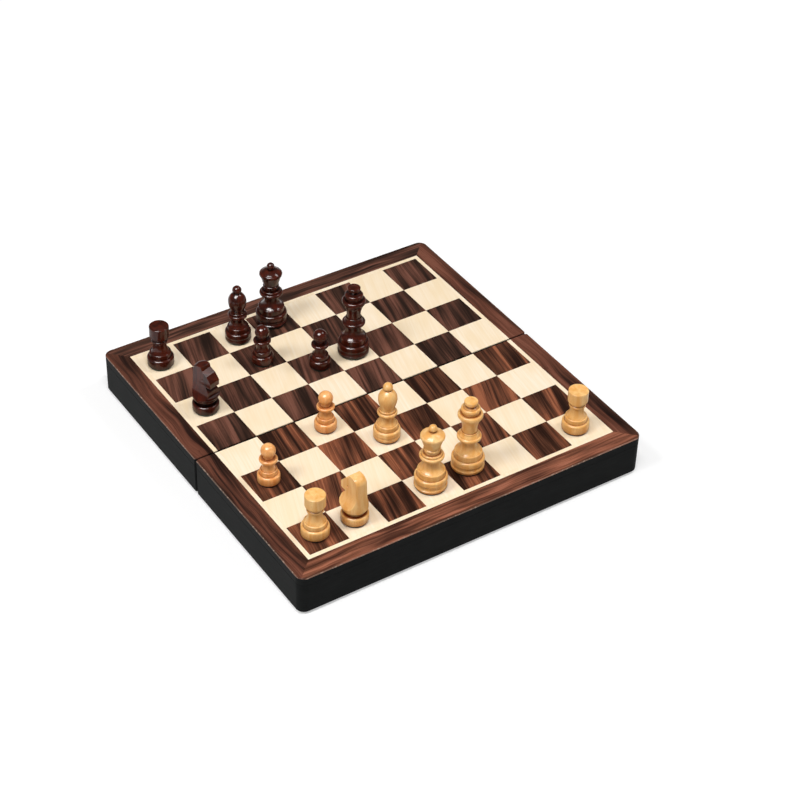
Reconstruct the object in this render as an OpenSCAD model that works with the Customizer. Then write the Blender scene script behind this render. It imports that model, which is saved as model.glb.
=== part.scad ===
// Folding box for chess, draughts and backgammon, lying open with its chessboard up
// and fifteen turned chessmen standing on it. All sizes are in millimetres.
// X runs along the fold, +Y from the light men's side to the dark men's side, +Z up.
// The front half lies at -Y and the back half at +Y. Each is a shallow tray that faces
// down, under a panel with the chess squares on top and the backgammon points beneath.
// The origin is the middle of the table area under the open box.

/* [Chessboard] */
// Side of one square
square = 24; // [18:0.5:30]
// Width of the pale string line round the squares
string_w = 2.5; // [1:0.1:4]
// Width of the rosewood border outside the string line
border_w = 11.7; // [9:0.1:18]
// Thickness of every veneer
veneer_t = 0.6; // [0.5:0.1:1.2]
// Width of the joint between two squares
joint_w = 0.1; // [0.05:0.05:0.3]
// Radius of the border's upper edge
top_r = 0.4; // [0.2:0.05:0.45]

/* [Half box] */
// Height of one half, from its rim to the playing surface
half_h = 24; // [18:0.5:36]
// Thickness of the panel between the veneers
panel_t = 4.4; // [3:0.1:7]
// Thickness of the rails
wall = 10; // [8:0.5:14]
// Radius of the upright corners at the outer side
corner_r = 5; // [2:0.5:7]
// Radius of the upright corners beside the fold
fold_r = 1; // [1:0.1:2]
// Radius of the rails' outer edge at the rim
rim_r = 0.8; // [0.3:0.1:0.9]
// Radius of the rails' inner edge at the rim
inner_rim_r = 0.4; // [0.2:0.1:0.8]
// Bevel of the rails under the panel, seen as a fine groove round the side
seam = 0.3; // [0.1:0.05:0.6]
// Gap between the two halves where they lie open
fold_gap = 1.2; // [0.8:0.1:2]
// Gap between the two rims when the box is shut
shut_gap = 0.3; // [0.2:0.1:0.6]

/* [Tray] */
// Thickness of the felt-covered lining strips
lining_t = 1.5; // [1:0.1:3]
// Distance of the lining's edge below the rim
lining_drop = 1.5; // [0.5:0.1:4]
// Gap between the lining and the rails
lining_gap = 0.2; // [0.1:0.05:0.5]
// Length of a backgammon point
point_len = 80; // [50:1:88]
// Pale sliver left between the bases of two points
point_gap = 1.6; // [0.6:0.1:4]
// Gap between the field's veneer and the rails
field_gap = 0.1; // [0.05:0.05:0.4]

/* [Hinges] */
// Distance of each hinge's middle from the middle of the fold
hinge_x = 60; // [40:1:72]
// Length of a hinge along the fold
hinge_len = 30; // [22:1:40]
// Thickness of a hinge leaf
leaf_t = 0.8; // [0.6:0.1:1.2]
// Wood left between a leaf and the inside of its rail
leaf_margin = 1.6; // [1:0.1:3]
// Radius of the hinge knuckles
knuckle_r = 1.3; // [1.1:0.1:1.8]
// Gap between two knuckles
knuckle_gap = 0.3; // [0.2:0.05:0.6]
// Room round the knuckles in the rails and the other leaf
knuckle_room = 0.35; // [0.3:0.05:0.6]
// Radius of the hinge pins
pin_r = 0.7; // [0.5:0.05:0.8]
// Running clearance of a pin in its knuckles
pin_clear = 0.05; // [0.02:0.01:0.1]
// Clearance round a leaf in its recess
leaf_clear = 0.1; // [0.05:0.05:0.3]
// Screws in each leaf
leaf_screws = 3; // [2:1:4]
// Radius of a screw's head
screw_head_r = 1.6; // [1.2:0.1:2.2]
// Radius of a screw's shank
screw_r = 0.8; // [0.5:0.1:1.1]
// Length of a screw under its head
screw_len = 7; // [5:0.5:10]
// Clearance round a screw
screw_clear = 0.05; // [0.02:0.01:0.1]

/* [Magnets] */
// Radius of the closing magnets
magnet_r = 3; // [2:0.1:3.5]
// Thickness of the closing magnets
magnet_t = 3; // [2:0.1:5]
// Distance of each magnet from the middle of its rail
magnet_x = 73.5; // [50:0.5:90]
// Clearance round a magnet in its pocket
magnet_clear = 0.05; // [0.02:0.01:0.1]

/* [Feet of the chessmen] */
// Thickness of the felt under a chessman
felt_t = 0.8; // [0.4:0.1:1.5]
// Distance of the felt's edge inside the foot
felt_inset = 0.8; // [0.3:0.1:2]
// Rounding at the foot of the drum
heel_r = 0.8; // [0.3:0.1:1.2]
// Rounding at the shoulder of the drum
shoulder_r = 1.4; // [0.5:0.1:2]
// Radius of the cutter that turns the groove round a drum
groove_r = 2; // [1.4:0.1:3]
// Width of the ledge between drum and bead
ledge_w = 1.5; // [1:0.1:2.5]
// Rounding of the bead above the drum
bead_r = 0.7; // [0.3:0.1:1]

/* [King] */
// Radius of the foot
king_foot_r = 9.15; // [8:0.05:11]
// Height of the drum over the felt
king_drum_h = 7.9; // [5:0.1:10]
// Depth of the groove round the drum
king_groove_d = 0.6; // [0.3:0.1:0.9]
// Height of the bead over the drum
king_bead_h = 3.7; // [2:0.1:6]
// Height of the stem from bead to collar
king_stem_h = 8.6; // [6:0.1:14]
// Radius of the stem
king_stem_r = 4.3; // [3:0.1:5.5]
// Radius of the collar
king_collar_r = 6.7; // [5.5:0.1:8]
// Thickness of the collar
king_collar_t = 2; // [1.6:0.1:2.8]
// Height of the slope from collar to neck
king_slope_h = 2.1; // [1.4:0.1:3]
// Radius of the bowl over the collar
king_bowl_r = 6.9; // [6:0.1:8.5]
// Height of the neck and bowl
king_bowl_h = 17; // [14:0.1:20]
// Height of the bowl's rounded lip
king_lip_h = 3; // [2.6:0.1:4]
// Radius of the ring over the bowl
king_ring_r = 5.3; // [4.4:0.1:6.5]
// Height of the ring over the bowl
king_ring_h = 4.1; // [3:0.1:6]
// Radius of the flat cap
king_cap_r = 3.7; // [2.6:0.1:4.2]
// Height of the cap with its neck
king_cap_h = 4.2; // [3:0.1:6]

/* [Queen] */
// Radius of the foot
queen_foot_r = 9.1; // [8:0.05:11]
// Height of the drum over the felt
queen_drum_h = 7.9; // [5:0.1:10]
// Depth of the groove round the drum
queen_groove_d = 0.8; // [0.3:0.1:1]
// Height of the bead over the drum
queen_bead_h = 3.7; // [2:0.1:6]
// Height of the stem from bead to collar
queen_stem_h = 8.2; // [6:0.1:14]
// Radius of the stem
queen_stem_r = 4.1; // [3:0.1:5.5]
// Radius of the collar
queen_collar_r = 6.8; // [5.5:0.1:8]
// Thickness of the collar
queen_collar_t = 2; // [1.6:0.1:2.8]
// Height from the collar's underside to the ring under the cup
queen_neck_h = 6; // [5:0.1:8]
// Radius of the cup's rim
queen_cup_r = 6.7; // [5.5:0.1:8]
// Height of the cup's rim
queen_rim_h = 2.4; // [2.2:0.1:3.5]
// Height of the cup from its foot ring to its rim
queen_cup_h = 9.2; // [6:0.1:12]
// Height of the domed lid
queen_dome_h = 2; // [1:0.1:4]
// Radius of the ball
queen_ball_r = 2.3; // [1.6:0.1:3]

/* [Bishop] */
// Radius of the foot
bishop_foot_r = 7.6; // [7:0.05:10]
// Height of the drum over the felt
bishop_drum_h = 6.6; // [5:0.1:9]
// Depth of the groove round the drum
bishop_groove_d = 0.2; // [0.1:0.1:0.6]
// Height of the bead over the drum
bishop_bead_h = 3; // [2:0.1:5]
// Height of the stem from bead to collar
bishop_stem_h = 6.4; // [5:0.1:10]
// Radius of the stem
bishop_stem_r = 3.8; // [3:0.1:4.6]
// Radius of the collar
bishop_collar_r = 5.6; // [5.2:0.1:7.4]
// Thickness of the collar
bishop_collar_t = 2; // [1.6:0.1:2.8]
// Height from the collar's underside to the head
bishop_neck_h = 4.4; // [4:0.1:6]
// Radius of the egg-shaped head
bishop_head_r = 5.3; // [4.6:0.1:6.8]
// Height of the egg-shaped head
bishop_head_h = 12.5; // [10.5:0.1:16]
// Radius of the ball
bishop_ball_r = 2.7; // [1.8:0.1:3.2]

/* [Knight] */
// Radius of the foot
knight_foot_r = 7.6; // [6.8:0.05:9]
// Height of the drum over the felt
knight_drum_h = 5.2; // [4:0.1:8]
// Radius of the neck between drum and body
knight_neck_r = 5.2; // [4:0.1:6]
// Height of the neck between drum and body
knight_neck_h = 2.4; // [1.5:0.1:3.5]
// Radius of the rounded back at its foot
knight_body_r = 7.2; // [6.4:0.05:8]
// Radius of the rounded back under its crown
knight_crown_r = 6.4; // [5.6:0.05:7]
// Reach of the chest and nose in front of the middle
knight_reach = 8.9; // [8.2:0.05:10]
// Height of the body from neck to ears
knight_body_h = 22.9; // [20:0.1:28]
// Half the thickness of the head between its sawn cheeks
knight_cheek = 3.4; // [2.6:0.1:4.2]
// Height of the flat part of a sawn cheek
knight_cheek_h = 11; // [8:0.1:13]
// Radius in which a sawn cheek runs out towards the chest
knight_cheek_r = 14; // [10:0.5:20]
// Drop from the crown to the brow
knight_brow_drop = 2.4; // [1.6:0.1:3.2]
// Drop from the crown to the top of the nose
knight_nose_drop = 7.4; // [6.4:0.1:8.2]
// Drop from the crown to the mouth
knight_mouth_drop = 11.6; // [10.6:0.1:12.6]
// Depth of the cut under the chin
knight_mouth = 3.8; // [2:0.1:5]
// Drop from the crown to the breast
knight_breast_drop = 18; // [16.5:0.1:19.5]
// Drop from the crown to the middle of the eye
knight_eye_drop = 8.1; // [6.5:0.1:9.5]

/* [Rook] */
// Radius of the foot
rook_foot_r = 7.7; // [7:0.05:10]
// Height of the drum over the felt
rook_drum_h = 6.1; // [4.5:0.1:9]
// Height of the bead over the drum
rook_bead_h = 2.8; // [2:0.1:5]
// Height of the stem from bead to ring
rook_stem_h = 7; // [5:0.1:10]
// Radius of the stem
rook_stem_r = 3.9; // [3:0.1:4.6]
// Radius of the ring under the tower
rook_ring_r = 4.7; // [4.2:0.1:5.4]
// Thickness of the ring under the tower
rook_ring_t = 2.2; // [1.6:0.1:2.8]
// Height from the ring's underside to the tower
rook_neck_h = 3.6; // [3:0.1:5]
// Radius of the tower
rook_tower_r = 5.65; // [5:0.05:6.8]
// Height of the tower
rook_tower_h = 7; // [5:0.1:10]
// Depth of the dish in the tower's top
rook_dish = 0.5; // [0.2:0.1:1]

/* [Pawn] */
// Radius of the foot
pawn_foot_r = 6.3; // [5.6:0.05:8]
// Height of the drum over the felt
pawn_drum_h = 5.4; // [4:0.1:8]
// Height of the bead over the drum
pawn_bead_h = 2.9; // [2:0.1:5]
// Height of the stem from bead to collar
pawn_stem_h = 5.7; // [4:0.1:9]
// Radius of the stem
pawn_stem_r = 3.1; // [2.4:0.1:3.8]
// Radius of the collar
pawn_collar_r = 5.1; // [4.4:0.1:6.4]
// Thickness of the collar
pawn_collar_t = 1.8; // [1.4:0.1:2.4]
// Height from the collar's underside to the ball
pawn_neck_h = 2.5; // [2.2:0.1:4]
// Radius of the ball
pawn_ball_r = 4.1; // [3.4:0.1:5]

/* [Hidden] */
$fn = 96;
files = 8;
half_ranks = 4;
points = 6;

frame_w = string_w + border_w;
box_len = files * square + 2 * frame_w;
half_depth = half_ranks * square + frame_w;
outer_y = fold_gap / 2 + half_depth;

// Heights over the table, which the hinge knuckles touch
pin_z = knuckle_r;
rim_z = pin_z + shut_gap / 2;
frame_h = half_h - panel_t - veneer_t;
panel_z = rim_z + frame_h;
squares_z = panel_z + panel_t;
top_z = squares_z + veneer_t;
field_z = panel_z - veneer_t;

// Inside of a tray, between its rails
tray_x = box_len / 2 - wall;
tray_y0 = fold_gap / 2 + wall;
tray_y1 = outer_y - wall;
lining_x = tray_x - lining_gap - lining_t;
lining_y0 = tray_y0 + lining_gap + lining_t;
lining_y1 = tray_y1 - lining_gap - lining_t;
point_pitch = (lining_y1 - lining_y0) / points;

// Hinge leaf, from the pin's axis into the fold rail
leaf_w = tray_y0 - leaf_margin;
knuckle_len = (hinge_len - 2 * knuckle_gap) / 3;
leaf_root = knuckle_r + knuckle_room;
screw_y = (leaf_root + leaf_w) / 2;
screw_pitch = hinge_len / leaf_screws;
head_h = leaf_t - 0.1;
slot_w = 0.4;
slot_h = 0.25;

// How far one turned form is sunk in the next
bite = 0.3;
// Half the side of a cutter that goes right through a man
cut = 60;
// Height of the groove as a share of the drum's height
groove_at = 0.42;

// Where each man stands: file and rank counted from 0, then how far off the
// square's middle it was set down
light_king_e1_at = [4, 0, 0.7, 3.4];
light_queen_d1_at = [3, 0, -1, 0.9];
light_rook_a1_at = [0, 0, -1.4, 0.4];
light_rook_h1_at = [7, 0, -2, -1.1];
light_knight_b1_at = [1, 0, -1.9, -0.8];
light_bishop_d3_at = [3, 2, 0.9, -0.8];
light_pawn_a3_at = [0, 2, -1, 0.9];
light_pawn_c4_at = [2, 3, 0, -1.1];
dark_king_e6_at = [4, 5, 1.8, 0.5];
dark_queen_d8_at = [3, 7, 0.2, 2.2];
dark_rook_a8_at = [0, 7, -2.4, -0.4];
dark_knight_a6_at = [0, 5, -0.1, -1.4];
dark_bishop_c8_at = [2, 7, -0.9, -2.5];
dark_pawn_c7_at = [2, 6, 0.3, -4.6];
dark_pawn_d6_at = [3, 5, 2.5, -0.9];
// How far the knights are turned from facing the dark men's side
light_knight_turn = 5;
dark_knight_turn = 196;

black_paint = "#1c1c1c";
core_board = "#4a3a2c";
rosewood = "#5a3026";
maple = "#f3e2c0";
field_wood = "#efe0c4";
point_brown = "#8a4a2a";
point_grey = "#4c4a48";
felt_brown = "#6b3a2c";
brass = "#b08a4a";
silver = "#c8c8c8";
boxwood = "#dba869";
red_ebony = "#3a1712";
baize = "#20301f";

// ---------- Shared building forms ----------

// The back half is the front half mirrored in the fold
module in_back() {
    mirror([0, 1, 0])
        children();
}

// What rounding to radius r takes off a corner at the origin
module corner_cut(r) {
    difference() {
        translate([-1, -1])
            square([r + 1, r + 1]);
        translate([r, r])
            circle(r = r);
    }
}

// Plan of a strip of length len and width w, with its outer side at y = 0. Its outer
// corners have the radii r0 and r1. Both ends are mitred, or the first is cut square.
module strip_plan(len, w, r0, r1, first_mitred = true) {
    difference() {
        square([len, w]);
        corner_cut(r0);
        translate([len, 0])
            mirror([1, 0])
                corner_cut(r1);
        if (first_mitred)
            polygon([[-1, -1], [w + 1, w + 1], [-1, w + 1]]);
        polygon([[len + 1, -1], [len - w - 1, w + 1], [len + 1, w + 1]]);
    }
}

// Cutter along the outer side of such a strip, round both its corners. The child is
// the cutter's section in a corner at the origin, x inwards and y upwards.
module along_side(len, r0, r1) {
    translate([r0, 0, 0])
        rotate([90, 0, 90])
            linear_extrude(len - r0 - r1)
                children();
    round_corner(r0)
        children();
    translate([len, 0, 0])
        mirror([1, 0, 0])
            round_corner(r1)
                children();
}

module round_corner(r) {
    translate([r, r, 0])
        rotate([0, 0, 180])
            rotate_extrude(angle = 90)
                translate([r, 0])
                    mirror([1, 0])
                        children();
}

// Plan of a half: large radii at the outer corners and small ones beside the fold
module half_plan() {
    x = box_len / 2;
    y0 = fold_gap / 2;
    for (s = [-1, 1]) {
        translate([s * (x - corner_r), -outer_y + corner_r])
            circle(r = corner_r);
        translate([s * (x - fold_r), -y0 - fold_r])
            circle(r = fold_r);
    }
    translate([-x, -outer_y + corner_r])
        square([2 * x, half_depth - corner_r - fold_r]);
    translate([-x + corner_r, -outer_y])
        square([2 * (x - corner_r), corner_r]);
    translate([-x + fold_r, -y0 - fold_r])
        square([2 * (x - fold_r), fold_r]);
}

// ---------- Box ----------

// One rail of the tray's frame, mitred at both ends, with rounded edges at its rim and
// a bevel along the panel
module rail(len, r0, r1) {
    past = 0.1;
    difference() {
        linear_extrude(frame_h)
            strip_plan(len, wall, r0, r1);
        along_side(len, r0, r1)
            corner_cut(rim_r);
        translate([0, 0, frame_h])
            along_side(len, r0, r1)
                polygon([[-past, -seam - past], [seam + past, past], [-past, past]]);
        translate([0, wall, 0])
            rotate([90, 0, 90])
                linear_extrude(len)
                    mirror([1, 0])
                        corner_cut(inner_rim_r);
    }
}

module outer_rail() {
    difference() {
        translate([-box_len / 2, -outer_y, rim_z])
            rail(box_len, corner_r, corner_r);
        for (s = [-1, 1])
            translate([s * magnet_x, -outer_y + wall / 2, rim_z - 1])
                cylinder(r = magnet_r + magnet_clear, h = magnet_t + magnet_clear + 1);
    }
}

module magnets() {
    for (s = [-1, 1])
        translate([s * magnet_x, -outer_y + wall / 2, rim_z])
            cylinder(r = magnet_r, h = magnet_t);
}

module end_rails() {
    for (s = [0, 1])
        mirror([s, 0, 0])
            translate([-box_len / 2, -fold_gap / 2, rim_z])
                rotate([0, 0, -90])
                    rail(half_depth, fold_r, corner_r);
}

module fold_rail() {
    difference() {
        translate([box_len / 2, -fold_gap / 2, rim_z])
            rotate([0, 0, 180])
                rail(box_len, fold_r, fold_r);
        at_hinges() {
            leaf_recess();
            at_screws()
                cylinder(r = screw_r + screw_clear, h = leaf_t + screw_len);
        }
    }
}

module panel() {
    translate([0, 0, panel_z])
        linear_extrude(panel_t)
            half_plan();
}

// One slip of the border, with its upper outer edge rounded
module border_slip(len, r0, r1, first_mitred) {
    difference() {
        linear_extrude(veneer_t)
            strip_plan(len, border_w, r0, r1, first_mitred);
        translate([0, 0, veneer_t])
            along_side(len, r0, r1)
                mirror([0, 1])
                    corner_cut(top_r);
    }
}

// Rosewood border: one long slip and two short ones, mitred at the outer corners
module border() {
    translate([0, 0, squares_z]) {
        translate([-box_len / 2, -outer_y, 0])
            border_slip(box_len, corner_r, corner_r, true);
        for (s = [0, 1])
            mirror([s, 0, 0])
                translate([-box_len / 2, -fold_gap / 2, 0])
                    rotate([0, 0, -90])
                        border_slip(half_depth, fold_r, corner_r, false);
    }
}

// Pale string line: three strips mitred at the outer corners
module string_line() {
    x1 = box_len / 2 - border_w;
    x0 = x1 - string_w;
    y0 = -fold_gap / 2;
    y1 = -outer_y + border_w;
    translate([0, 0, squares_z]) {
        linear_extrude(veneer_t)
            polygon([[-x1, y1], [x1, y1], [x0, y1 + string_w], [-x0, y1 + string_w]]);
        for (s = [0, 1])
            mirror([s, 0, 0])
                linear_extrude(veneer_t)
                    polygon([[x1, y0], [x1, y1], [x0, y1 + string_w], [x0, y0]]);
    }
}

// Every second square of the ranks given. The corner square a1 is a dark one.
module squares(first_rank, dark) {
    side = square - joint_w;
    y_first = first_rank < half_ranks ? -fold_gap / 2 : fold_gap / 2;
    for (file = [0 : files - 1])
        for (rank = [first_rank : first_rank + half_ranks - 1])
            if (((file + rank) % 2 == 0) == dark)
                translate([(file - files / 2) * square + joint_w / 2,
                           y_first + (rank - half_ranks) * square + joint_w / 2,
                           squares_z])
                    cube([side, side, veneer_t]);
}

// One backgammon point in plan; i counts the points from the outer side
module point_plan(i) {
    base = point_pitch - point_gap;
    y = -lining_y1 + (i + 0.5) * point_pitch;
    polygon([[-lining_x, y - base / 2], [-lining_x + point_len, y], [-lining_x, y + base / 2]]);
}

// Points of one colour at both ends of a tray; the two ends alternate the other way round
module point_set(parity) {
    translate([0, 0, field_z])
        linear_extrude(veneer_t)
            for (s = [0, 1])
                mirror([s, 0])
                    for (i = [0 : points - 1])
                        if ((i + s) % 2 == parity)
                            point_plan(i);
}

module field() {
    x = tray_x - field_gap;
    translate([0, 0, field_z])
        linear_extrude(veneer_t)
            difference() {
                translate([-x, -tray_y1 + field_gap])
                    square([2 * x, tray_y1 - tray_y0 - 2 * field_gap]);
                for (s = [0, 1])
                    mirror([s, 0])
                        for (i = [0 : points - 1])
                            point_plan(i);
            }
}

// Four strips that stand on the field, the long ones between the short ones
module lining() {
    z = rim_z + lining_drop;
    h = field_z - z;
    x = tray_x - lining_gap;
    for (y = [-lining_y0, -lining_y1 - lining_t])
        translate([-lining_x, y, z])
            cube([2 * lining_x, lining_t, h]);
    for (x0 = [-x, x - lining_t])
        translate([x0, -lining_y1 - lining_t, z])
            cube([lining_t, lining_y1 - lining_y0 + 2 * lining_t, h]);
}

// ---------- Hinges ----------

module at_hinges() {
    for (s = [-1, 1])
        translate([s * hinge_x, 0, 0])
            children();
}

module at_screws() {
    for (i = [0 : leaf_screws - 1])
        translate([(i - (leaf_screws - 1) / 2) * screw_pitch, -screw_y, rim_z])
            children();
}

// A cylinder along X on the pin's axis
module on_pin(r, x0, x1) {
    translate([x0, 0, pin_z])
        rotate([0, 90, 0])
            cylinder(r = r, h = x1 - x0);
}

// Room in the fold rail for one leaf and all the knuckles
module leaf_recess() {
    x = hinge_len / 2 + leaf_clear;
    translate([-x, -leaf_w - leaf_clear, rim_z - 1])
        cube([2 * x, leaf_w + leaf_clear, leaf_t + leaf_clear + 1]);
    on_pin(knuckle_r + knuckle_room, -x, x);
}

// One leaf; its knuckles fill the stretches listed in spans, and it is cut back from
// the other leaf's stretches listed in gaps
module leaf(spans, gaps) {
    difference() {
        union() {
            translate([-hinge_len / 2, -leaf_w, rim_z])
                cube([hinge_len, leaf_w - leaf_root, leaf_t]);
            for (s = spans) {
                translate([s[0], -leaf_root - 0.1, rim_z])
                    cube([s[1] - s[0], leaf_root + 0.1, leaf_t]);
                on_pin(knuckle_r, s[0], s[1]);
            }
        }
        on_pin(pin_r + pin_clear, -hinge_len, hinge_len);
        at_screws()
            screw_body(screw_clear);
        for (g = gaps)
            on_pin(knuckle_r + knuckle_room, g[0], g[1]);
    }
}

// The front leaf has the two outer knuckles and the back leaf the middle one
module front_leaf() {
    a = hinge_len / 2;
    b = knuckle_len / 2;
    leaf([[-a, -a + knuckle_len], [a - knuckle_len, a]], [[-b, b]]);
}

module back_leaf() {
    a = hinge_len / 2;
    b = knuckle_len / 2;
    leaf([[-b, b]], [[-a - 1, -a + knuckle_len], [a - knuckle_len, a + 1]]);
}

// Countersunk screw, head flush with the leaf; grow widens it for its hole
module screw_body(grow) {
    translate([0, 0, -0.01 * sign(grow)])
        cylinder(r1 = screw_head_r + grow, r2 = screw_r + grow, h = head_h);
    cylinder(r = screw_r + grow, h = leaf_t + screw_len - 0.5);
}

module screws() {
    at_hinges()
        at_screws()
            difference() {
                screw_body(0);
                translate([-screw_head_r, -slot_w / 2, -1])
                    cube([2 * screw_head_r, slot_w, slot_h + 1]);
            }
}

// ---------- Turned forms, drawn as half-sections with x as the radius ----------

module disc_half(r, z0, z1, low = 0, high = 0) {
    translate([0, z0 + low])
        square([r, z1 - z0 - low - high]);
    if (low > 0) {
        translate([0, z0])
            square([r - low, low]);
        translate([r - low, z0 + low])
            circle(r = low);
    }
    if (high > 0) {
        translate([0, z1 - high])
            square([r - high, high]);
        translate([r - high, z1 - high])
            circle(r = high);
    }
}

module cone_half(r0, z0, r1, z1) {
    polygon([[0, z0], [r0, z0], [r1, z1], [0, z1]]);
}

// Concave flare between a wide radius and a neck, upright at the neck
module flare_half(r_wide, z_wide, r_neck, z_neck) {
    dz = abs(z_neck - z_wide);
    dr = r_wide - r_neck;
    arc = (dr * dr + dz * dz) / (2 * dr);
    difference() {
        translate([0, min(z_wide, z_neck)])
            square([r_wide, dz]);
        translate([r_neck + arc, z_neck])
            circle(r = arc);
    }
}

module ball_half(r, z) {
    intersection() {
        translate([0, z])
            circle(r = r);
        translate([0, z - r])
            square([r, 2 * r]);
    }
}

// Shallow dome of height h over a rim of radius r
module dome_half(r, z, h) {
    arc = (r * r + h * h) / (2 * h);
    intersection() {
        translate([0, z + h - arc])
            circle(r = arc);
        translate([0, z])
            square([r, h]);
    }
}

// Half an egg: an arc that bulges to r at height z and meets the axis at height tip
module egg_half(r, z, tip) {
    h = abs(tip - z);
    c = (h * h - r * r) / (2 * r);
    intersection() {
        translate([-c, z])
            circle(r = r + c);
        translate([0, min(z, tip)])
            square([r + 1, h]);
    }
}

// Foot that every turned man shares: drum, bead and flared stem. The drum has a groove
// of depth groove_d round it.
module foot_half(r, drum_h, bead_h, stem_h, stem_r, groove_d = 0) {
    drum = felt_t + drum_h;
    bead = drum + bead_h;
    step = 0.2;
    difference() {
        disc_half(r, felt_t, drum, heel_r, shoulder_r);
        if (groove_d > 0)
            translate([r + groove_r - groove_d, felt_t + groove_at * drum_h])
                circle(r = groove_r);
    }
    disc_half(r - ledge_w, drum - bite, bead, 0, bead_r);
    flare_half(r - ledge_w - bead_r - step, bead, stem_r, bead + 0.6 * stem_h);
    disc_half(stem_r, bead, bead + stem_h);
}

// Height of the stem's upper end
function foot_top(drum_h, bead_h, stem_h) = felt_t + drum_h + bead_h + stem_h;

// Round-edged collar on a stem that ends at height z
module collar_half(r, z, t) {
    round_r = 0.45 * (t + bite);
    disc_half(r, z - bite, z + t, round_r, round_r);
}

// Smaller bead on top of a collar of radius r
module collar_bead_half(r, z) {
    inset = 1.2;
    disc_half(r - inset, z - bite, z + inset, 0, 0.6 * inset);
}

module king_half() {
    z = foot_top(king_drum_h, king_bead_h, king_stem_h);
    collar_z = z + king_collar_t;
    neck_r = king_stem_r - bite;
    neck_z = collar_z + king_slope_h;
    bowl_z = z + king_bowl_h;
    lip_z = bowl_z - king_lip_h;
    ring_z = bowl_z + king_ring_h;
    cap_z = ring_z + king_cap_h;
    cap_edge = 0.4;
    cap_side_h = 1.6;
    foot_half(king_foot_r, king_drum_h, king_bead_h, king_stem_h, king_stem_r,
              king_groove_d);
    collar_half(king_collar_r, z, king_collar_t);
    cone_half(king_collar_r - 1, collar_z - bite, neck_r + bite, neck_z);
    disc_half(neck_r + 2 * bite, neck_z - bite, neck_z + 2 * bite, 0, bite);
    disc_half(neck_r, neck_z, lip_z + bite);
    flare_half(king_bowl_r - 0.4, lip_z + 2 * bite, neck_r, neck_z + 1.4);
    disc_half(king_bowl_r, lip_z, bowl_z, 0.4 * king_lip_h, 0.45 * king_lip_h);
    disc_half(king_ring_r - 0.5, bowl_z - bite, bowl_z + 0.4 * king_ring_h);
    disc_half(king_ring_r, bowl_z + 0.37 * king_ring_h, ring_z - bite, 0.6, 1.1);
    cone_half(king_ring_r - 1, ring_z - 2 * bite, king_cap_r - 1.2, ring_z + bite);
    cone_half(king_cap_r - 1.3, ring_z, king_cap_r, cap_z - cap_side_h - cap_edge + 0.1);
    disc_half(king_cap_r, cap_z - cap_side_h - cap_edge, cap_z - cap_edge, 0, cap_edge);
    dome_half(king_cap_r - cap_edge - 0.1, cap_z - 2 * cap_edge, 2 * cap_edge);
}

module queen_half() {
    z = foot_top(queen_drum_h, queen_bead_h, queen_stem_h);
    ring_z = z + queen_neck_h;
    rim_high = ring_z + queen_cup_h;
    rim_low = rim_high - queen_rim_h;
    ball_z = rim_high + queen_dome_h + queen_ball_r - 2 * bite;
    foot_half(queen_foot_r, queen_drum_h, queen_bead_h, queen_stem_h, queen_stem_r,
              queen_groove_d);
    collar_half(queen_collar_r, z, queen_collar_t);
    collar_bead_half(queen_collar_r, z + queen_collar_t);
    disc_half(queen_stem_r, z + queen_collar_t, ring_z);
    disc_half(queen_stem_r + 0.6, ring_z - 1, ring_z + 0.5, 0.6, 0.7);
    cone_half(queen_stem_r, ring_z, queen_cup_r - 0.5, rim_low + bite);
    disc_half(queen_cup_r, rim_low, rim_high, 0.38 * queen_rim_h, 0.5 * queen_rim_h);
    dome_half(queen_cup_r - 0.7, rim_high - bite, queen_dome_h + bite);
    ball_half(queen_ball_r, ball_z);
}

module bishop_half() {
    z = foot_top(bishop_drum_h, bishop_bead_h, bishop_stem_h);
    head_z = z + bishop_neck_h;
    middle = head_z + bishop_head_h / 2;
    tip = head_z + bishop_head_h;
    foot_half(bishop_foot_r, bishop_drum_h, bishop_bead_h, bishop_stem_h, bishop_stem_r,
              bishop_groove_d);
    collar_half(bishop_collar_r, z, bishop_collar_t);
    collar_bead_half(bishop_collar_r, z + bishop_collar_t);
    disc_half(bishop_stem_r, z + bishop_collar_t, head_z + bite);
    intersection() {
        egg_half(bishop_head_r, middle, middle - 0.84 * bishop_head_h);
        translate([0, head_z])
            square([cut, middle - head_z]);
    }
    egg_half(bishop_head_r, middle, tip);
    ball_half(bishop_ball_r, tip + 0.45 * bishop_ball_r);
}

module rook_half() {
    z = foot_top(rook_drum_h, rook_bead_h, rook_stem_h);
    ring = z + rook_ring_t;
    tower = z + rook_neck_h;
    top = tower + rook_tower_h;
    dish_r = rook_tower_r - 0.9;
    dish_arc = (dish_r * dish_r + rook_dish * rook_dish) / (2 * rook_dish);
    difference() {
        union() {
            foot_half(rook_foot_r, rook_drum_h, rook_bead_h, rook_stem_h, rook_stem_r);
            collar_half(rook_ring_r, z, 0.7 * rook_ring_t);
            disc_half(rook_ring_r - 0.5, z + 1, ring);
            cone_half(rook_ring_r - 0.4, ring - bite, rook_tower_r - 0.2, tower + 0.1);
            disc_half(rook_tower_r, tower, top, 0.3, 0.5);
        }
        translate([0, top - rook_dish + dish_arc])
            intersection() {
                circle(r = dish_arc);
                translate([0, -dish_arc])
                    square([dish_r, 2 * dish_arc]);
            }
    }
}

module pawn_half() {
    z = foot_top(pawn_drum_h, pawn_bead_h, pawn_stem_h);
    ball_z = z + pawn_neck_h + pawn_ball_r;
    foot_half(pawn_foot_r, pawn_drum_h, pawn_bead_h, pawn_stem_h, pawn_stem_r);
    collar_half(pawn_collar_r, z, pawn_collar_t);
    disc_half(pawn_stem_r - bite, z + 1, ball_z - 0.6 * pawn_ball_r);
    ball_half(pawn_ball_r, ball_z);
}

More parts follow.
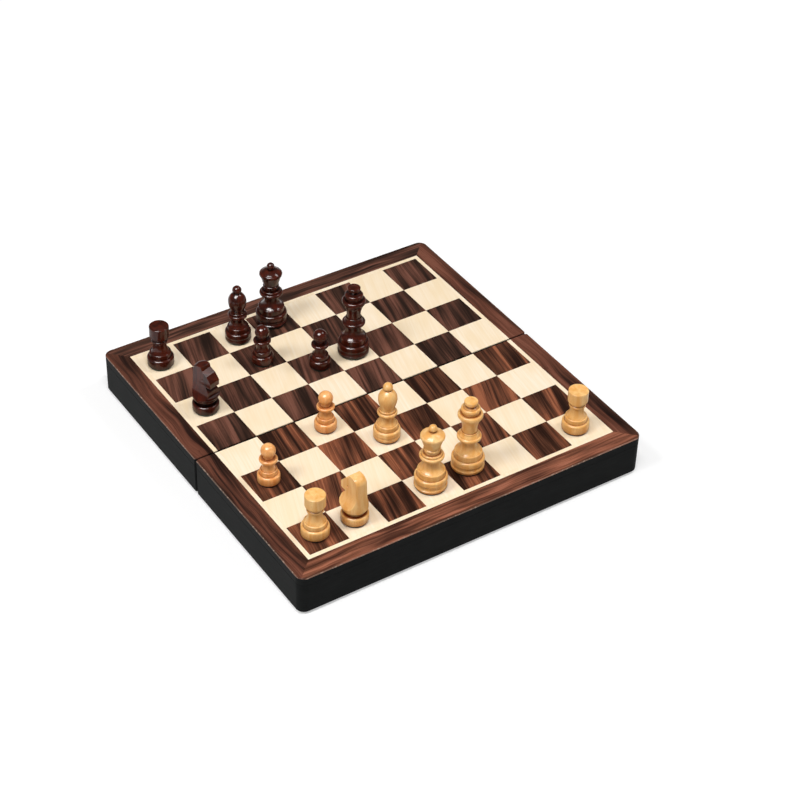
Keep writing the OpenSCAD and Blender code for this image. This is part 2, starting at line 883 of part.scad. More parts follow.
// Turned blank of a knight: low drum, neck, and a body that tapers up to a round crown
module knight_half() {
    drum = felt_t + knight_drum_h;
    body = drum + knight_neck_h;
    top = body + knight_body_h;
    base_h = 3;
    crown = 4;
    crown_z = top - crown;
    disc_half(knight_foot_r, felt_t, drum, heel_r, shoulder_r - 0.1);
    disc_half(knight_neck_r, drum - bite, body + 1);
    disc_half(knight_body_r, body, body + base_h, 1.4, 0);
    cone_half(knight_body_r, body + base_h - 0.1, knight_crown_r, crown_z);
    translate([0, crown_z - 0.1])
        square([knight_crown_r - crown, crown + 0.1]);
    intersection() {
        translate([knight_crown_r - crown, crown_z])
            circle(r = crown);
        translate([0, crown_z])
            square([knight_crown_r + 1, crown + 1]);
    }
}

// Side view of the horse, facing +x, that the knight is sawn to: crown, step behind the
// forehead, brow, nose, chin cut and breast
module horse_side(top) {
    nose = knight_reach - 1.1;
    breast = knight_reach - 2.3;
    brow_z = top - knight_brow_drop;
    nose_z = top - knight_nose_drop;
    mouth_z = top - knight_mouth_drop;
    breast_z = top - knight_breast_drop;
    polygon([
        [-cut, -cut], [-cut, top + 1], [0.4, top + 1], [1, top - 0.5], [1.5, brow_z],
        [4.9, brow_z - 2], [nose - 0.3, nose_z], [nose, nose_z - 0.9],
        [nose - 0.2, mouth_z], [nose - knight_mouth, mouth_z - 0.5],
        [breast - 0.4, breast_z + 3], [breast, breast_z], [cut, breast_z - 3],
        [cut, -cut]
    ]);
}

// Blank for the chest and head, which flares from the body's foot. Only the part in
// front of the rounded back is used.
module horse_front(body, top) {
    intersection() {
        rotate_extrude()
            polygon([
                [0, body + 0.4], [knight_body_r - 1, body + 0.4],
                [knight_reach - 0.7, body + 3.5], [knight_reach, body + 8],
                [knight_reach, top - 1], [0, top - 1]
            ]);
        translate([-knight_body_r, 0, body])
            cube([2 * knight_body_r, knight_reach, knight_body_h]);
    }
}

// Takes one cheek off: flat beside the head, then running out in an arc
module cheek_cutter(top) {
    translate([knight_cheek, 0, top - knight_cheek_h])
        rotate([90, 0, 0])
            linear_extrude(cut, center = true) {
                translate([knight_cheek_r, 0])
                    circle(r = knight_cheek_r);
                square(cut);
            }
}

module knight() {
    eye_r = 0.8;
    body = felt_t + knight_drum_h + knight_neck_h;
    top = body + knight_body_h;
    difference() {
        intersection() {
            union() {
                rotate_extrude()
                    knight_half();
                horse_front(body, top);
            }
            rotate([90, 0, 90])
                linear_extrude(cut, center = true)
                    horse_side(top);
        }
        for (s = [0, 1])
            mirror([s, 0, 0]) {
                cheek_cutter(top);
                translate([knight_cheek + 0.4 * eye_r, 1.8, top - knight_eye_drop])
                    sphere(r = eye_r);
            }
    }
}

module turned() {
    rotate_extrude()
        children();
}

module felt_disc(foot_r) {
    cylinder(r = foot_r - felt_inset, h = felt_t);
}

// ---------- Placing the men ----------

// A man stands in the middle of its square, moved by the last two numbers of spot
module stand(spot) {
    side = spot[1] < half_ranks ? -1 : 1;
    translate([(spot[0] - files / 2 + 0.5) * square + spot[2],
               (spot[1] - half_ranks + 0.5) * square + side * fold_gap / 2 + spot[3],
               top_z])
        children();
}

module light() {
    color(boxwood)
        children();
}

module dark() {
    color(red_ebony)
        children();
}

module felt_at(spot, foot_r) {
    color(baize)
        stand(spot)
            felt_disc(foot_r);
}

// ---------- Nodes ----------

module front_outer_rail() { color(black_paint) outer_rail(); }
module front_fold_rail() { color(black_paint) fold_rail(); }
module front_end_rails() { color(black_paint) end_rails(); }
module front_panel() { color(core_board) panel(); }
module front_border() { color(rosewood) border(); }
module front_maple() { color(maple) { string_line(); squares(0, false); } }
module front_rosewood() { color(rosewood) squares(0, true); }
module front_field() { color(field_wood) field(); }
module front_brown_points() { color(point_brown) point_set(0); }
module front_grey_points() { color(point_grey) point_set(1); }
module front_lining() { color(felt_brown) lining(); }
module front_magnets() { color(silver) magnets(); }
module front_leaves() { color(brass) at_hinges() front_leaf(); }
module front_screws() { color(brass) screws(); }

module hinge_pins() {
    color(silver)
        at_hinges()
            on_pin(pin_r, -hinge_len / 2, hinge_len / 2);
}

module back_outer_rail() { color(black_paint) in_back() outer_rail(); }
module back_fold_rail() { color(black_paint) in_back() fold_rail(); }
module back_end_rails() { color(black_paint) in_back() end_rails(); }
module back_panel() { color(core_board) in_back() panel(); }
module back_border() { color(rosewood) in_back() border(); }
module back_maple() { color(maple) { in_back() string_line(); squares(half_ranks, false); } }
module back_rosewood() { color(rosewood) squares(half_ranks, true); }
module back_field() { color(field_wood) in_back() field(); }
module back_brown_points() { color(point_brown) in_back() point_set(1); }
module back_grey_points() { color(point_grey) in_back() point_set(0); }
module back_lining() { color(felt_brown) in_back() lining(); }
module back_magnets() { color(silver) in_back() magnets(); }
module back_leaves() { color(brass) in_back() at_hinges() back_leaf(); }
module back_screws() { color(brass) in_back() screws(); }

module light_king_e1() { light() stand(light_king_e1_at) turned() king_half(); }
module light_queen_d1() { light() stand(light_queen_d1_at) turned() queen_half(); }
module light_rook_a1() { light() stand(light_rook_a1_at) turned() rook_half(); }
module light_rook_h1() { light() stand(light_rook_h1_at) turned() rook_half(); }
module light_knight_b1() { light() stand(light_knight_b1_at) rotate(light_knight_turn) knight(); }
module light_bishop_d3() { light() stand(light_bishop_d3_at) turned() bishop_half(); }
module light_pawn_a3() { light() stand(light_pawn_a3_at) turned() pawn_half(); }
module light_pawn_c4() { light() stand(light_pawn_c4_at) turned() pawn_half(); }
module dark_king_e6() { dark() stand(dark_king_e6_at) turned() king_half(); }
module dark_queen_d8() { dark() stand(dark_queen_d8_at) turned() queen_half(); }
module dark_rook_a8() { dark() stand(dark_rook_a8_at) turned() rook_half(); }
module dark_knight_a6() { dark() stand(dark_knight_a6_at) rotate(dark_knight_turn) knight(); }
module dark_bishop_c8() { dark() stand(dark_bishop_c8_at) turned() bishop_half(); }
module dark_pawn_c7() { dark() stand(dark_pawn_c7_at) turned() pawn_half(); }
module dark_pawn_d6() { dark() stand(dark_pawn_d6_at) turned() pawn_half(); }

module light_king_e1_felt() { felt_at(light_king_e1_at, king_foot_r); }
module light_queen_d1_felt() { felt_at(light_queen_d1_at, queen_foot_r); }
module light_rook_a1_felt() { felt_at(light_rook_a1_at, rook_foot_r); }
module light_rook_h1_felt() { felt_at(light_rook_h1_at, rook_foot_r); }
module light_knight_b1_felt() { felt_at(light_knight_b1_at, knight_foot_r); }
module light_bishop_d3_felt() { felt_at(light_bishop_d3_at, bishop_foot_r); }
module light_pawn_a3_felt() { felt_at(light_pawn_a3_at, pawn_foot_r); }
module light_pawn_c4_felt() { felt_at(light_pawn_c4_at, pawn_foot_r); }
module dark_king_e6_felt() { felt_at(dark_king_e6_at, king_foot_r); }
module dark_queen_d8_felt() { felt_at(dark_queen_d8_at, queen_foot_r); }
module dark_rook_a8_felt() { felt_at(dark_rook_a8_at, rook_foot_r); }
module dark_knight_a6_felt() { felt_at(dark_knight_a6_at, knight_foot_r); }
module dark_bishop_c8_felt() { felt_at(dark_bishop_c8_at, bishop_foot_r); }
module dark_pawn_c7_felt() { felt_at(dark_pawn_c7_at, pawn_foot_r); }
module dark_pawn_d6_felt() { felt_at(dark_pawn_d6_at, pawn_foot_r); }

front_outer_rail();
front_fold_rail();
front_end_rails();
front_panel();
front_border();
front_maple();
front_rosewood();
front_field();
front_brown_points();
front_grey_points();
front_lining();
front_magnets();
front_leaves();
front_screws();
hinge_pins();
back_outer_rail();
back_fold_rail();
back_end_rails();
back_panel();
back_border();
back_maple();
back_rosewood();
back_field();
back_brown_points();
back_grey_points();
back_lining();
back_magnets();
back_leaves();
back_screws();
light_king_e1();
light_king_e1_felt();
light_queen_d1();
light_queen_d1_felt();
light_rook_a1();
light_rook_a1_felt();
light_rook_h1();
light_rook_h1_felt();
light_knight_b1();
light_knight_b1_felt();
light_bishop_d3();
light_bishop_d3_felt();
light_pawn_a3();
light_pawn_a3_felt();
light_pawn_c4();
light_pawn_c4_felt();
dark_king_e6();
dark_king_e6_felt();
dark_queen_d8();
dark_queen_d8_felt();
dark_rook_a8();
dark_rook_a8_felt();
dark_knight_a6();
dark_knight_a6_felt();
dark_bishop_c8();
dark_bishop_c8_felt();
dark_pawn_c7();
dark_pawn_c7_felt();
dark_pawn_d6();
dark_pawn_d6_felt();
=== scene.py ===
"""Looks of the folding chess and backgammon box: procedural wood, lacquer, felt and metal
on the CAD solids, and a plain studio."""
import math

import bpy
from mathutils import Matrix, Vector

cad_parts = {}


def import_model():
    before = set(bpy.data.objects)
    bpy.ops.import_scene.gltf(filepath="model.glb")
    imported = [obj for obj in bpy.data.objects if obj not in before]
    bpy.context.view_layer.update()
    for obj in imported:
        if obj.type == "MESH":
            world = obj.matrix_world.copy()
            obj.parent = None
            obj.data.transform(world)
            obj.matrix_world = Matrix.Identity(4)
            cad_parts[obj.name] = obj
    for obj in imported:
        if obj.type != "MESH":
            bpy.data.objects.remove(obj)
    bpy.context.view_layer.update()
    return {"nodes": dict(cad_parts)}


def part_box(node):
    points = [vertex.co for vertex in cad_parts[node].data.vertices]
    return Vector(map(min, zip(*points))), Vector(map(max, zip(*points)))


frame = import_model()

# Sizes read from the frame, in mm
MM = 1000.0                     # in a metre
FILES = 8                       # squares along a side
panel_low, panel_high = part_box("front_panel")
dark_low, dark_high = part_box("front_rosewood")
HALF_X = panel_high.x * MM      # half the box's length
HALF_Y = -panel_low.y * MM      # half its open depth
FOLD = -panel_high.y * MM       # half the gap in the fold
SQUARE = round((dark_high.x - dark_low.x) * MM / FILES, 1)
RIM_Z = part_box("front_outer_rail")[0].z * MM

WHITE = (1.0, 1.0, 1.0, 1.0)
BLACK = (0.0, 0.0, 0.0, 1.0)
# Sockets of a Mix node: its two inputs and its output
MIX_SOCKETS = {"RGBA": (6, 7, 2), "VECTOR": (4, 5, 1)}


# ---------- Building node graphs ----------

def srgb(r, g, b):
    """A colour as seen in a picture, 0 to 255, turned into the shader's linear values."""
    def lin(v):
        v /= 255.0
        return v / 12.92 if v <= 0.04045 else ((v + 0.055) / 1.055) ** 2.4
    return (lin(r), lin(g), lin(b), 1.0)


class Graph:
    """A material, its Principled shader and short calls that add nodes to it."""

    def __init__(self, name, rough=0.5, coat=0.0, coat_rough=0.1, specular=0.1, metallic=0.0):
        self.mat = bpy.data.materials.new(name)
        self.mat.use_nodes = True
        self.tree = self.mat.node_tree
        self.shader = self.tree.nodes["Principled BSDF"]
        values = {"Roughness": rough, "Coat Weight": coat, "Coat Roughness": coat_rough,
                  "Specular IOR Level": specular, "Metallic": metallic}
        for key, value in values.items():
            self.shader.inputs[key].default_value = value
        coords = self.tree.nodes.new("ShaderNodeTexCoord")
        self.mm = self.vector("SCALE", coords.outputs["Object"], scale=MM)

    def put(self, socket, value):
        """Link a node's output to the socket, or set the socket's own value."""
        if isinstance(value, bpy.types.NodeSocket):
            self.tree.links.new(value, socket)
        else:
            socket.default_value = value

    def vector(self, op, a, b=None, scale=None):
        node = self.tree.nodes.new("ShaderNodeVectorMath")
        node.operation = op
        self.put(node.inputs[0], a)
        if b is not None:
            self.put(node.inputs[1], b)
        if scale is not None:
            node.inputs["Scale"].default_value = scale
        return node.outputs["Vector"]

    def math(self, op, a, b=None):
        node = self.tree.nodes.new("ShaderNodeMath")
        node.operation = op
        self.put(node.inputs[0], a)
        if b is not None:
            self.put(node.inputs[1], b)
        return node.outputs["Value"]

    def parts(self, vector):
        """The x, y and z of a vector."""
        node = self.tree.nodes.new("ShaderNodeSeparateXYZ")
        self.put(node.inputs[0], vector)
        return node.outputs

    def join(self, x, y, z):
        node = self.tree.nodes.new("ShaderNodeCombineXYZ")
        for socket, value in zip(node.inputs, (x, y, z)):
            self.put(socket, value)
        return node.outputs[0]

    def noise(self, vector, size, detail=2.0, rough=0.5, distortion=0.0):
        """Noise whose features measure size = (x, y, z) mm."""
        node = self.tree.nodes.new("ShaderNodeTexNoise")
        scaled = self.vector("MULTIPLY", vector, tuple(1.0 / s for s in size))
        self.put(node.inputs["Vector"], scaled)
        node.inputs["Scale"].default_value = 1.0
        node.inputs["Detail"].default_value = detail
        node.inputs["Roughness"].default_value = rough
        node.inputs["Distortion"].default_value = distortion
        return node.outputs["Fac"]

    def random(self, vector):
        """A number and a vector from 0 to 1 that jump wherever the given vector changes."""
        node = self.tree.nodes.new("ShaderNodeTexWhiteNoise")
        node.noise_dimensions = "3D"
        self.put(node.inputs["Vector"], vector)
        return node.outputs["Value"], node.outputs["Color"]

    def ramp(self, fac, *stops):
        """Colours or values at places from 0 to 1 along fac."""
        node = self.tree.nodes.new("ShaderNodeValToRGB")
        band = node.color_ramp
        while len(band.elements) < len(stops):
            band.elements.new(0.5)
        for element, (place, colour) in zip(band.elements, stops):
            element.position = place
            if not isinstance(colour, tuple):
                colour = (colour, colour, colour, 1.0)
            element.color = colour
        self.put(node.inputs["Fac"], fac)
        return node.outputs["Color"]

    def mix(self, fac, a, b, kind="RGBA"):
        """Colour or vector a where fac is 0 and b where it is 1."""
        node = self.tree.nodes.new("ShaderNodeMix")
        node.data_type = kind
        first, second, result = MIX_SOCKETS[kind]
        self.put(node.inputs["Factor"], fac)
        self.put(node.inputs[first], a)
        self.put(node.inputs[second], b)
        return node.outputs[result]

    def blend(self, *shares):
        """Sum of (share, value) pairs."""
        total = 0.0
        for share, value in shares:
            total = self.math("ADD", total, self.math("MULTIPLY", value, share))
        return total

    def bump(self, height, distance, strength):
        """Relief of distance metres for a height of 1."""
        node = self.tree.nodes.new("ShaderNodeBump")
        node.inputs["Strength"].default_value = strength
        node.inputs["Distance"].default_value = distance
        self.put(node.inputs["Height"], height)
        self.put(self.shader.inputs["Normal"], node.outputs["Normal"])

    def colour(self, value):
        self.put(self.shader.inputs["Base Color"], value)

    def vary_rough(self, fac, low, high):
        """Roughness from low to high as fac goes from 0 to 1."""
        self.put(self.shader.inputs["Roughness"], self.ramp(fac, (0.0, low), (1.0, high)))


# How far apart, in mm, the figure of one piece of veneer lies from the next one's
SQUARES_APART = 700.0
SLIPS_APART = 300.0


def per_square(g):
    """Coordinates that jump from one square to the next, with the grain along y and
    leaning a few degrees more or less in each, and the square's own number."""
    p = g.parts(g.mm)
    y = g.math("SUBTRACT", p[1], g.math("MULTIPLY", g.math("SIGN", p[1]), FOLD))
    cell = g.join(g.math("FLOOR", g.math("DIVIDE", p[0], SQUARE)),
                  g.math("FLOOR", g.math("DIVIDE", y, SQUARE)), 0.0)
    number, jump = g.random(cell)
    lean = g.blend((0.24, number), (1.0, 0.12))     # mm across for each mm along
    across = g.math("SUBTRACT", p[0], g.math("MULTIPLY", p[1], lean))
    turned = g.join(across, p[1], p[2])
    return g.vector("ADD", turned, g.vector("SCALE", jump, scale=SQUARES_APART)), number


def per_slip(g):
    """Coordinates with the grain turned along each slip of the border, x across the slip
    and y along it, 1 on the long slip and 0 on the short ones, and the distance from the
    outer edge."""
    p = g.parts(g.mm)
    to_side = g.math("SUBTRACT", HALF_X, g.math("ABSOLUTE", p[0]))
    to_end = g.math("SUBTRACT", HALF_Y, g.math("ABSOLUTE", p[1]))
    long_slip = g.math("LESS_THAN", to_end, to_side)
    where = g.mix(long_slip, g.mm, g.join(p[1], p[0], SLIPS_APART), "VECTOR")
    return where, long_slip, g.math("MINIMUM", to_side, to_end)


def along_x(g):
    """Coordinates with the grain along x."""
    p = g.parts(g.mm)
    return g.join(p[1], p[0], p[2])


# ---------- Woods ----------

# Rosewood from its darkest streaks to its brightest ones
FRONT_REDS = ((40, 22, 15), (57, 33, 23), (74, 45, 32),
              (94, 57, 41), (122, 72, 51), (154, 94, 66))
BACK_REDS = ((40, 26, 20), (53, 35, 28), (66, 44, 35),
             (81, 52, 42), (98, 63, 51), (120, 78, 64))
FRONT_SLIP = ((66, 38, 28), (84, 51, 38), (100, 61, 46),
              (120, 74, 56), (142, 87, 66), (160, 102, 79))
SIDE_SLIP = ((34, 19, 15), (52, 31, 24), (70, 43, 33),
             (87, 52, 40), (104, 62, 48), (124, 77, 61))
# Places of those tones on the mixed noise, which gathers round a half
TONE_PLACES = (0.40, 0.44, 0.47, 0.50, 0.54, 0.585)
PALER = 0.045           # how far a piece's own number, from 0 to 1, moves it along them
PORE = srgb(22, 11, 8)
# Painted highlight along the border's rounded outer edge: its colour and its width
PAINTED_EDGE_HIGHLIGHT = srgb(176, 150, 132)
PAINTED_HIGHLIGHT_WIDTH = 0.35       # mm
PAINTED_SHADE_REACH = 0.007    # m, how near other wood has to be for the painted shade in a groove


def streaked(g, where, width, wave, tones, number=0.5):
    """Figure of a striped wood: dark patches about width mm wide that wander by wave mm,
    with bands, streaks and fine lines along them; number makes a whole piece paler."""
    p = g.parts(where)
    drift = g.noise(where, (2.5 * width, 6 * width, 6 * width), detail=1)
    drift = g.math("MULTIPLY", g.math("SUBTRACT", drift, 0.5), wave)
    bent = g.join(g.math("ADD", p[0], drift), p[1], p[2])
    patches = g.noise(bent, (width, 9 * width, 9 * width), detail=1)
    bands = g.noise(bent, (0.4 * width, 16 * width, 16 * width), detail=2)
    streaks = g.noise(bent, (0.17 * width, 8 * width, 8 * width), detail=3, rough=0.6)
    lines = g.noise(bent, (0.07 * width, 3 * width, 3 * width), detail=2)
    mixed = g.blend((0.36, patches), (0.34, bands), (0.18, streaks), (0.12, lines),
                    (PALER, number), (1.0, -0.5 * PALER))
    stops = [(place, srgb(*tone)) for place, tone in zip(TONE_PLACES, tones)]
    return g.ramp(mixed, *stops), lines


def finish_rosewood(g, where, wood, lines):
    """Pores along the grain under a thin satin lacquer."""
    pores = g.noise(where, (0.2, 3.0, 3.0), detail=1, rough=0.4)
    g.colour(g.mix(g.ramp(pores, (0.66, 0.0), (0.74, 0.5)), wood, PORE))
    g.vary_rough(lines, 0.28, 0.42)
    g.bump(pores, 0.00003, 0.25)
    return g.mat


def rosewood_squares(name, tones):
    g = Graph(name, coat=0.1, coat_rough=0.12, specular=0.06)
    where, number = per_square(g)
    wood, lines = streaked(g, where, 6.2, 3.4, tones, number)
    return finish_rosewood(g, where, wood, lines)


def rosewood_border(name, long_tones, short_tones):
    """Calm figure on the long slip, bold on the short ones, and a painted highlight along the
    outer edge.
    """
    g = Graph(name, coat=0.14, coat_rough=0.12, specular=0.06)
    where, long_slip, inside = per_slip(g)
    calm, lines = streaked(g, where, 3.6, 3.0, long_tones)
    bold, _ = streaked(g, where, 8.0, 14.0, short_tones)
    wood = g.mix(long_slip, bold, calm)
    # Painted highlight: a lighter band along the outer edge, brighter in patches
    highlight_patches = g.ramp(g.noise(g.mm, (1.6, 1.6, 1.6), detail=3), (0.56, 0.0), (0.62, 0.6))
    edge = g.math("LESS_THAN", inside, PAINTED_HIGHLIGHT_WIDTH)
    edge_highlight_mask = g.math("MULTIPLY", edge, g.math("ADD", highlight_patches, 0.3))
    return finish_rosewood(g, where, g.mix(edge_highlight_mask, wood, PAINTED_EDGE_HIGHLIGHT), lines)


def pale_veneer(name, place, number, light, dark):
    """Maple or a like wood: fine, faint streaks and clouds. place gives the material and
    its coordinates, and how much darker a whole piece is, at most number."""
    g, where, darker = place(name, number)
    streaks = g.noise(where, (1.3, 40, 40), detail=3, rough=0.6, distortion=0.1)
    clouds = g.noise(where, (9, 20, 20), detail=1)
    flecks = g.noise(where, (0.25, 2.2, 2.2), detail=1)
    wood = g.mix(g.ramp(streaks, (0.34, 0.6), (0.66, 0.0)), light, dark)
    wood = g.mix(g.ramp(clouds, (0.42, 0.0), (0.7, 0.5)), wood, dark)
    wood = g.mix(g.ramp(flecks, (0.7, 0.0), (0.8, 0.25)), wood, dark)
    g.colour(g.mix(darker, wood, dark))
    g.vary_rough(clouds, 0.33, 0.42)
    return g.mat


def turned_wood(name, light, dark, pore_and_shade, rough, coat, coat_rough):
    """Turned wood with its grain upright: long streaks on the sides and pores on the ends,
    under a polish, with painted shade: a deeper colour mixed into the turned grooves and
    wherever other wood lies near, from ambient occlusion."""
    g = Graph(name, coat=coat, coat_rough=coat_rough, specular=0.05)
    broad = g.noise(g.mm, (3.4, 3.4, 26), detail=2, rough=0.5, distortion=0.5)
    fine = g.noise(g.mm, (0.55, 0.55, 9), detail=3, rough=0.6)
    pores = g.noise(g.mm, (0.16, 0.16, 1.6), detail=1)
    turning = g.noise(g.mm, (30, 30, 0.4), detail=2)
    wood = g.mix(g.ramp(broad, (0.32, 1.0), (0.68, 0.0)), light, dark)
    wood = g.mix(g.ramp(fine, (0.3, 0.5), (0.62, 0.0)), wood, dark)
    wood = g.mix(g.ramp(pores, (0.66, 0.0), (0.76, 0.35)), wood, pore_and_shade)
    # Painted shade: ambient occlusion mixes the deeper colour into grooves and hollows
    occlusion = g.tree.nodes.new("ShaderNodeAmbientOcclusion")
    occlusion.inputs["Distance"].default_value = PAINTED_SHADE_REACH
    occlusion.samples = 8
    painted_shade = g.ramp(occlusion.outputs["AO"], (0.4, 1.0), (0.62, 0.6), (0.88, 0.0))
    g.colour(g.mix(painted_shade, wood, pore_and_shade))
    g.vary_rough(fine, rough - 0.04, rough + 0.06)
    g.bump(g.blend((0.5, turning), (0.5, fine)), 0.00003, 0.3)
    return g.mat


# ---------- Lacquer, felt and metal ----------

def black_lacquer():
    """Black spray lacquer on wood: a trace of the grain and of orange peel, and a painted
    sheen that colours the rims lighter grey."""
    g = Graph("black_lacquer", specular=0.012)
    haze = g.noise(g.mm, (16, 16, 16), detail=2)
    grain = g.noise(g.mm, (14, 14, 0.9), detail=3, rough=0.6)
    peel = g.noise(g.mm, (1.3, 1.3, 1.3), detail=2)
    tone = g.mix(haze, srgb(27, 28, 28), srgb(36, 37, 37))
    tone = g.mix(g.ramp(grain, (0.45, 0.0), (0.8, 0.3)), tone, srgb(46, 47, 47))
    # Painted sheen: the rims, the lowest faces, are coloured lighter grey
    painted_rim_sheen = g.math("LESS_THAN", g.parts(g.mm)[2], RIM_Z + 0.2)
    g.colour(g.mix(painted_rim_sheen, tone, g.mix(haze, srgb(52, 53, 55), srgb(66, 67, 69))))
    g.vary_rough(haze, 0.34, 0.46)
    g.bump(g.blend((0.6, peel), (0.4, grain)), 0.00004, 0.35)
    return g.mat


def felt(name, base, lint):
    """Short matted fibres with lighter lint."""
    g = Graph(name, rough=0.95)
    g.shader.inputs["Sheen Weight"].default_value = 0.25
    g.shader.inputs["Sheen Roughness"].default_value = 0.6
    fibres = g.noise(g.mm, (0.14, 0.14, 0.14), detail=3, rough=0.7, distortion=1.2)
    tufts = g.noise(g.mm, (1.2, 1.2, 1.2), detail=2)
    wool = g.mix(g.ramp(fibres, (0.35, 0.0), (0.8, 0.6)), base, lint)
    g.colour(g.mix(g.ramp(tufts, (0.35, 0.35), (0.7, 0.0)), wool, BLACK))
    g.bump(fibres, 0.0001, 0.8)
    return g.mat


def metal(name, colour, rough, stretch):
    """Plated or drawn metal with fine wear lines, whose sizes in mm are stretch."""
    g = Graph(name, metallic=1.0, specular=0.5)
    lines = g.noise(g.mm, stretch, detail=3, rough=0.6)
    marks = g.noise(g.mm, (1.8, 1.8, 1.8), detail=2)
    dull = tuple(0.62 * c for c in colour[:3]) + (1.0,)
    g.colour(g.mix(g.ramp(marks, (0.4, 0.0), (0.8, 0.55)), colour, dull))
    g.vary_rough(lines, rough - 0.08, rough + 0.14)
    g.bump(lines, 0.00001, 0.3)
    return g.mat


def in_squares(name, number):
    """Lacquered veneer cut in squares, each of them darker by up to number."""
    g = Graph(name, coat=0.12, coat_rough=0.2)
    where, own = per_square(g)
    return g, where, g.math("MULTIPLY", own, number)


def in_tray(name, number):
    """Plain veneer with its grain along the tray."""
    g = Graph(name)
    return g, along_x(g), number


LACQUER = black_lacquer()
# The third colour of each turned wood serves both its pores and its painted shade
BOXWOOD = turned_wood("boxwood", srgb(254, 210, 142), srgb(240, 174, 94),
                      srgb(124, 42, 2), 0.38, 0.5, 0.22)
WARM_BOXWOOD = turned_wood("warm_boxwood", srgb(254, 194, 128), srgb(236, 156, 84),
                           srgb(128, 44, 4), 0.38, 0.5, 0.22)
RED_STAIN = turned_wood("dark_stained_wood", srgb(84, 28, 12), srgb(48, 14, 6),
                        srgb(8, 2, 1), 0.3, 0.56, 0.1)
LINING = felt("felt_lining", srgb(56, 31, 26), srgb(92, 58, 50))
BAIZE = felt("base_felt", srgb(24, 52, 36), srgb(60, 92, 70))
BRASS = metal("brass", srgb(205, 168, 92), 0.32, (0.08, 6, 6))
NICKEL = metal("magnet_nickel", srgb(168, 168, 165), 0.3, (3, 3, 0.1))
STEEL = metal("steel_pin", srgb(188, 188, 190), 0.34, (8, 0.1, 0.1))
MAPLE = pale_veneer("maple", in_squares, 0.35, srgb(255, 239, 216), srgb(245, 220, 180))
FIELD = pale_veneer("field_wood", in_tray, 0.0, srgb(250, 244, 224), srgb(243, 233, 203))
BROWN = pale_veneer("brown_points", in_tray, 0.0, srgb(136, 113, 88), srgb(112, 84, 58))
GREY = pale_veneer("grey_points", in_tray, 0.0, srgb(74, 76, 79), srgb(48, 50, 54))

MATERIALS = {
    "hinge_pins": STEEL,
    "front_border": rosewood_border("rosewood_border_front", FRONT_SLIP, SIDE_SLIP),
    "back_border": rosewood_border("rosewood_border_back", BACK_REDS, SIDE_SLIP),
    "front_rosewood": rosewood_squares("rosewood_front", FRONT_REDS),
    "back_rosewood": rosewood_squares("rosewood_back", BACK_REDS),
}
SHARED = {
    "maple": MAPLE, "field": FIELD, "brown_points": BROWN, "grey_points": GREY,
    "lining": LINING, "magnets": NICKEL, "leaves": BRASS, "screws": BRASS,
    "outer_rail": LACQUER, "fold_rail": LACQUER, "end_rails": LACQUER, "panel": LACQUER,
}
for half in ("front", "back"):
    for part, mat in SHARED.items():
        MATERIALS[half + "_" + part] = mat


def man_material(name):
    """Finish of one chessman or of the felt under it."""
    if name.endswith("_felt"):
        return BAIZE
    if name.startswith("dark"):
        return RED_STAIN
    return WARM_BOXWOOD if "pawn" in name else BOXWOOD


for name, node in frame["nodes"].items():
    mat = MATERIALS.get(name) or man_material(name)
    for slot in node.material_slots:
        slot.material = mat


# ---------- Studio ----------

FLOOR_REACH = 6.0       # m from the middle to each side
FLOOR_COLOUR = (0.62, 0.62, 0.62, 1.0)
# The floor's glow near the box and far from it, and the distances in mm
FLOOR_GLOW = {"From Min": 250.0, "From Max": 1500.0, "To Min": 0.45, "To Max": 1.0}
WORLD_COLOUR = (1.0, 0.99, 0.975, 1.0)
WORLD_STRENGTH = 0.17
# The photograph's viewpoint, in m and degrees
CAMERA_PLACE = (-0.49498, -0.76130, 0.75467)
CAMERA_AZIMUTH = -34.20
CAMERA_ELEVATION = 38.92
CAMERA_ROLL = 1.854


def floor():
    """Pale floor that shows as white and keeps the object's shadow. Its glow, which only
    the camera and reflections see, grows with the distance from the lamps and leaves out
    the strip under the gap of the fold."""
    mesh = bpy.data.meshes.new("floor")
    signs = ((-1, -1), (1, -1), (1, 1), (-1, 1))
    corners = [(x * FLOOR_REACH, y * FLOOR_REACH, 0) for x, y in signs]
    mesh.from_pydata(corners, [], [(0, 1, 2, 3)])
    piece = bpy.data.objects.new("floor", mesh)
    bpy.context.scene.collection.objects.link(piece)
    g = Graph("floor", rough=0.9, specular=0.1)
    g.colour(FLOOR_COLOUR)
    g.shader.inputs["Emission Color"].default_value = WHITE
    path = g.tree.nodes.new("ShaderNodeLightPath")
    shown = path.outputs["Is Camera Ray"]
    for ray in ("Is Glossy Ray", "Is Transmission Ray"):
        shown = g.math("MAXIMUM", shown, path.outputs[ray])
    away = g.tree.nodes.new("ShaderNodeVectorMath")
    away.operation = "LENGTH"
    g.put(away.inputs[0], g.mm)
    glow = g.tree.nodes.new("ShaderNodeMapRange")
    for key, value in FLOOR_GLOW.items():
        glow.inputs[key].default_value = value
    g.put(glow.inputs["Value"], away.outputs["Value"])
    p = g.parts(g.mm)
    off_fold = g.math("GREATER_THAN", g.math("ABSOLUTE", p[1]), FOLD + 1.0)
    off_end = g.math("GREATER_THAN", g.math("ABSOLUTE", p[0]), HALF_X - 2.0)
    shown = g.math("MULTIPLY", shown, g.math("MAXIMUM", off_fold, off_end))
    strength = g.math("MULTIPLY", shown, glow.outputs[0])
    g.put(g.shader.inputs["Emission Strength"], strength)
    mesh.materials.append(g.mat)


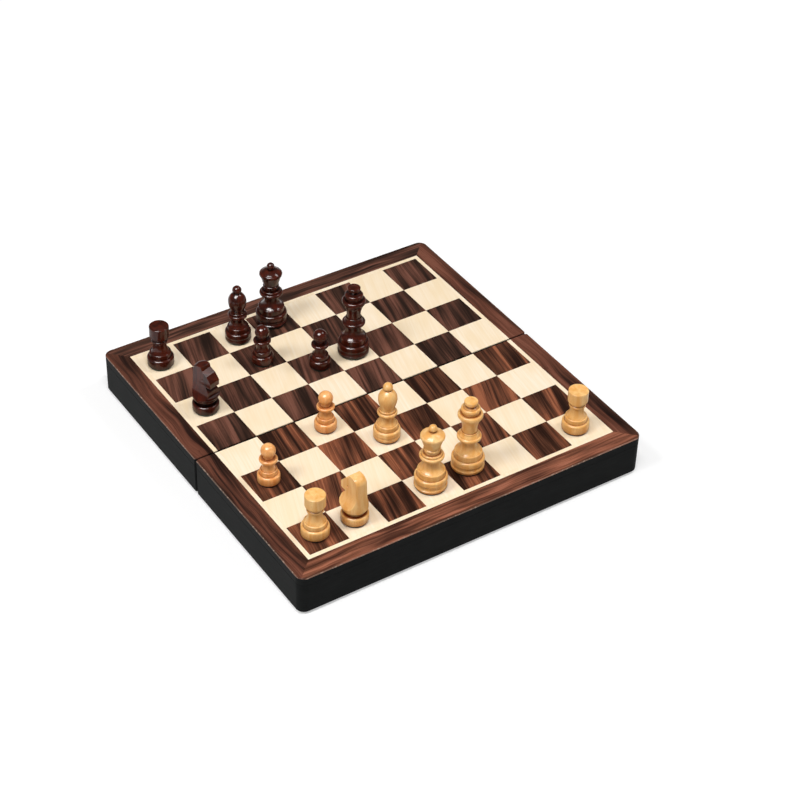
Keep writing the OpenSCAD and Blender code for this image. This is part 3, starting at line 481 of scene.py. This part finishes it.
def softbox(name, towards, distance, width, height, watts, gloss_only=False):
    """Area lamp that looks at the middle of the board from the direction towards. Its
    distance, width and height are in m. gloss_only keeps it to the highlights."""
    data = bpy.data.lights.new(name, "AREA")
    data.shape = "RECTANGLE"
    data.size = width
    data.size_y = height
    data.energy = watts
    lamp = bpy.data.objects.new(name, data)
    lamp.visible_diffuse = not gloss_only
    target = Vector((0, 0, panel_high.z))
    way = Vector(towards).normalized()
    lamp.location = target + way * distance
    lamp.rotation_euler = way.to_track_quat("Z", "Y").to_euler()
    bpy.context.scene.collection.objects.link(lamp)


def world():
    """Even pale light from all sides."""
    w = bpy.data.worlds.new("studio")
    w.use_nodes = True
    light = w.node_tree.nodes["Background"]
    light.inputs["Color"].default_value = WORLD_COLOUR
    light.inputs["Strength"].default_value = WORLD_STRENGTH
    bpy.context.scene.world = w


def camera():
    """The photograph's viewpoint, from the board's corners and squares."""
    data = bpy.data.cameras.new("camera")
    data.sensor_width = 36.0
    data.lens = 92.9
    data.clip_start = 0.05
    data.clip_end = 20.0
    cam = bpy.data.objects.new("camera", data)
    azimuth = math.radians(CAMERA_AZIMUTH)
    elevation = math.radians(CAMERA_ELEVATION)
    roll = math.radians(CAMERA_ROLL)
    ahead = -Vector((math.sin(azimuth) * math.cos(elevation),
                     -math.cos(azimuth) * math.cos(elevation), math.sin(elevation)))
    right = ahead.cross(Vector((0, 0, 1))).normalized()
    down = ahead.cross(right)
    c, s = math.cos(roll), math.sin(roll)
    x = c * right - s * down
    y = -(c * down + s * right)
    turn = Matrix((x, y, -ahead)).transposed()
    cam.matrix_world = Matrix.Translation(CAMERA_PLACE) @ turn.to_4x4()
    bpy.context.scene.collection.objects.link(cam)
    bpy.context.scene.camera = cam


floor()
softbox("right", (0.51, -0.22, 0.76), 1.3, 0.34, 0.34, 4.5)
softbox("left", (-0.61, -0.02, 0.80), 1.3, 0.34, 0.34, 6.6)
softbox("top", (-0.20, -0.30, 0.93), 1.3, 0.46, 0.30, 7.3)
softbox("reflector", (-0.50, -0.22, 0.84), 1.25, 0.62, 0.62, 30.0, gloss_only=True)
world()
camera()
bpy.context.scene.view_settings.view_transform = "Standard"
